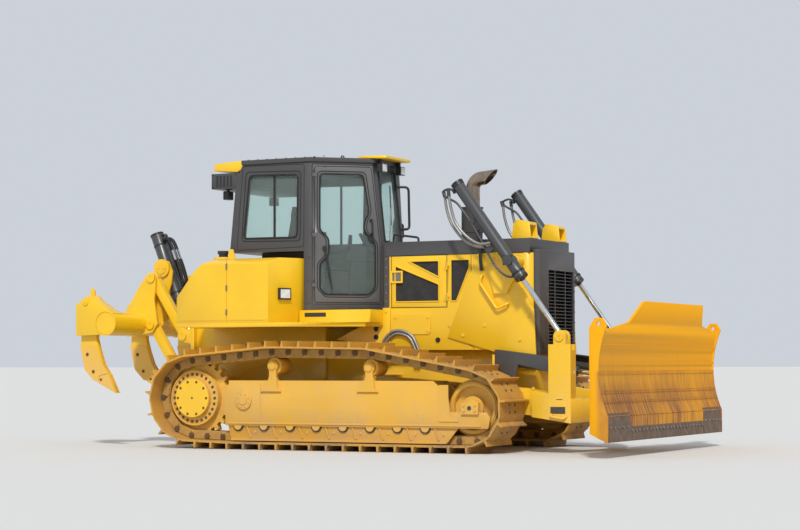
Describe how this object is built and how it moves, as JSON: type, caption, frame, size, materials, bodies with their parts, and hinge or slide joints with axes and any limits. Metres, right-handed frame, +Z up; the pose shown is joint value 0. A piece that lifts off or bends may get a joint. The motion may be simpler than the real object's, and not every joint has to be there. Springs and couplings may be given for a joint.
{
  "type": "crawler bulldozer",
  "caption": "Crawler bulldozer with a hinged, angling and tilting blade, a multi-shank parallelogram ripper, and cab and engine doors that open.",
  "frame": {"origin": "centre of the bounding box, at ground level", "axes": "+X forward to the blade, +Y to the machine's left, +Z up"},
  "size_m": [6.681, 3.45, 3.16],
  "materials": {
    "yellow_paint": "glossy yellow enamel",
    "dusty_paint": "yellow enamel under dust and mud",
    "dark_paint": "satin dark grey enamel",
    "barrel_paint": "satin black enamel",
    "grille_paint": "matt black enamel",
    "rod_chrome": "polished",
    "engine_iron": "painted casting",
    "radiator_core": "dark fins",
    "exhaust_steel": "heat-stained",
    "seat_cloth": "woven",
    "cab_glass": "clear with a green tint"
  },
  "bodies": {
    "chassis": {"main_frame": "yellow_paint", "engine_block": "engine_iron", "radiator": "radiator_core", "hood": "dark_paint", "side_panels": "yellow_paint", "cheeks": "yellow_paint", "nose": "dark_paint", "grille": "grille_paint", "lamp_guards": "yellow_paint", "exhaust": "exhaust_steel", "cab_shell": "dark_paint", "cab_roof": "dark_paint", "visors": "yellow_paint", "cooler_box": "dark_paint", "cab_glass": "cab_glass", "seat": "seat_cloth", "seat_base": "grille_paint", "tank_right": "yellow_paint", "tank_left": "yellow_paint", "decks": "yellow_paint", "track_frame_right": "dusty_paint", "track_frame_left": "dusty_paint", "track_right": "dusty_paint", "track_left": "dusty_paint", "sprockets": "dusty_paint", "idlers": "dusty_paint", "rollers": "dusty_paint", "ripper_mount": "yellow_paint"},
    "blade_frame": {"blade_frame": "yellow_paint", "cylinder_guards": "yellow_paint"},
    "blade_yoke": {"blade_yoke": "yellow_paint"},
    "blade": {"blade": "yellow_paint"},
    "tilt_barrel": {"tilt_barrel": "barrel_paint"},
    "tilt_rod": {"tilt_rod": "rod_chrome"},
    "ripper_barrel": {"ripper_barrel": "barrel_paint"},
    "ripper_rod": {"ripper_rod": "rod_chrome"},
    "ripper_lower_link": {"ripper_lower_link": "yellow_paint"},
    "ripper_upper_link": {"ripper_upper_link": "yellow_paint"},
    "ripper_beam": {"ripper_beam": "yellow_paint", "ripper_shanks": "yellow_paint"},
    "lift_barrel_right": {"lift_barrel_right": "barrel_paint"},
    "lift_rod_right": {"lift_rod_right": "rod_chrome"},
    "angle_barrel_right": {"angle_barrel_right": "barrel_paint"},
    "angle_rod_right": {"angle_rod_right": "rod_chrome"},
    "engine_door_right": {"engine_door_right": "yellow_paint"},
    "cab_door_right": {"cab_door_right": "dark_paint", "door_glass_right": "cab_glass"},
    "lift_barrel_left": {"lift_barrel_left": "barrel_paint"},
    "lift_rod_left": {"lift_rod_left": "rod_chrome"},
    "angle_barrel_left": {"angle_barrel_left": "barrel_paint"},
    "angle_rod_left": {"angle_rod_left": "rod_chrome"},
    "engine_door_left": {"engine_door_left": "yellow_paint"},
    "cab_door_left": {"cab_door_left": "dark_paint", "door_glass_left": "cab_glass"}
  },
  "joints": [
    {"name": "blade_lift", "type": "hinge", "parent": "chassis", "child": "blade_frame", "pos_m": [0.3025, 0, 0.65], "axis": [0, -1, 0], "range_deg": [-12, 17]},
    {"name": "blade_angle", "type": "hinge", "parent": "blade_frame", "child": "blade_yoke", "pos_m": [2.8725, 0, 0.45], "axis": [0, 0, 1], "range_deg": [-25, 25]},
    {"name": "blade_tilt", "type": "hinge", "parent": "blade_yoke", "child": "blade", "pos_m": [3.0525, 0, 0.45], "axis": [1, 0, 0], "range_deg": [-6, 6]},
    {"name": "lift_barrel_turn_right", "type": "hinge", "parent": "chassis", "child": "lift_barrel_right", "pos_m": [1.8365, -0.765, 1.96], "axis": [0, -1, 0], "range_deg": [-11.21, 15.8]},
    {"name": "lift_rod_slide_right", "type": "slide", "parent": "lift_barrel_right", "child": "lift_rod_right", "axis": [0.5892, 0, -0.808], "range_m": [-0.59271, 0.41897]},
    {"name": "angle_barrel_turn_right", "type": "hinge", "parent": "blade_frame", "child": "angle_barrel_right", "pos_m": [1.6725, -0.62, 0.93], "axis": [0, -1, 0], "range_deg": [-1.65, 1.65]},
    {"name": "angle_rod_slide_right", "type": "slide", "parent": "angle_barrel_right", "child": "angle_rod_right", "axis": [0.9923, 0, -0.124], "range_m": [-0.26249, 0.26249]},
    {"name": "lift_barrel_turn_left", "type": "hinge", "parent": "chassis", "child": "lift_barrel_left", "pos_m": [1.8365, 0.765, 1.96], "axis": [0, -1, 0], "range_deg": [-11.21, 15.8]},
    {"name": "lift_rod_slide_left", "type": "slide", "parent": "lift_barrel_left", "child": "lift_rod_left", "axis": [0.5892, 0, -0.808], "range_m": [-0.59271, 0.41897]},
    {"name": "angle_barrel_turn_left", "type": "hinge", "parent": "blade_frame", "child": "angle_barrel_left", "pos_m": [1.6725, 0.62, 0.93], "axis": [0, -1, 0], "range_deg": [-1.65, 1.65]},
    {"name": "angle_rod_slide_left", "type": "slide", "parent": "angle_barrel_left", "child": "angle_rod_left", "axis": [0.9923, 0, -0.124], "range_m": [-0.26249, 0.26249]},
    {"name": "tilt_barrel_turn", "type": "hinge", "parent": "blade_yoke", "child": "tilt_barrel", "pos_m": [2.9675, 0.06, 1.03], "axis": [1, 0, 0], "range_deg": [-6.33, 6.33]},
    {"name": "tilt_rod_slide", "type": "slide", "parent": "tilt_barrel", "child": "tilt_rod", "axis": [0, 0.9971, -0.0757], "range_m": [-0.06297, 0.06297]},
    {"name": "ripper_lift", "type": "hinge", "parent": "chassis", "child": "ripper_lower_link", "pos_m": [-2.3225, 0, 0.69], "axis": [0, -1, 0], "range_deg": [0, 70]},
    {"name": "ripper_upper_turn", "type": "hinge", "parent": "chassis", "child": "ripper_upper_link", "pos_m": [-2.3155, 0, 1.22], "axis": [0, -1, 0], "range_deg": [0, 70.2]},
    {"name": "ripper_beam_turn", "type": "hinge", "parent": "ripper_lower_link", "child": "ripper_beam", "pos_m": [-2.7475, 0, 1.352], "axis": [0, -1, 0], "range_deg": [-70.2, 0]},
    {"name": "ripper_barrel_turn", "type": "hinge", "parent": "ripper_beam", "child": "ripper_barrel", "pos_m": [-2.8235, 0, 2.01], "axis": [0, -1, 0], "range_deg": [-0.2, 51.6]},
    {"name": "ripper_rod_slide", "type": "slide", "parent": "ripper_barrel", "child": "ripper_rod", "axis": [0.3714, 0, -0.9285], "range_m": [-0.31574, 0.002]},
    {"name": "cab_door_right", "type": "hinge", "parent": "chassis", "child": "cab_door_right", "pos_m": [-0.46682, -0.77146, 2.25], "axis": [0, 0, -1], "range_deg": [0, 90]},
    {"name": "engine_door_right", "type": "hinge", "parent": "chassis", "child": "engine_door_right", "pos_m": [1.015, -0.544, 1.77], "axis": [0, 0, 1], "range_deg": [0, 100]},
    {"name": "cab_door_left", "type": "hinge", "parent": "chassis", "child": "cab_door_left", "pos_m": [-0.46682, 0.77146, 2.25], "axis": [0, 0, 1], "range_deg": [0, 90]},
    {"name": "engine_door_left", "type": "hinge", "parent": "chassis", "child": "engine_door_left", "pos_m": [1.015, 0.544, 1.77], "axis": [0, 0, -1], "range_deg": [0, 100]}
  ],
  "couplings": [
    {"joint": "lift_barrel_turn_right", "follows": "blade_lift", "ratio": 0.9174},
    {"joint": "lift_rod_slide_right", "follows": "blade_lift", "m_per_rad": -1.9909},
    {"joint": "angle_barrel_turn_right", "follows": "blade_angle", "ratio": 0.062},
    {"joint": "angle_rod_slide_right", "follows": "blade_angle", "m_per_rad": 0.597},
    {"joint": "lift_barrel_turn_left", "follows": "blade_lift", "ratio": 0.9174},
    {"joint": "lift_rod_slide_left", "follows": "blade_lift", "m_per_rad": -1.9909},
    {"joint": "angle_barrel_turn_left", "follows": "blade_angle", "ratio": -0.062},
    {"joint": "angle_rod_slide_left", "follows": "blade_angle", "m_per_rad": -0.597},
    {"joint": "tilt_barrel_turn", "follows": "blade_tilt", "ratio": 1.022},
    {"joint": "tilt_rod_slide", "follows": "blade_tilt", "m_per_rad": -0.5822},
    {"joint": "ripper_upper_turn", "follows": "ripper_lift", "ratio": 1},
    {"joint": "ripper_beam_turn", "follows": "ripper_lift", "ratio": -1},
    {"joint": "ripper_barrel_turn", "follows": "ripper_lift", "ratio": 0.7343},
    {"joint": "ripper_rod_slide", "follows": "ripper_lift", "m_per_rad": -0.2568}
  ]
}
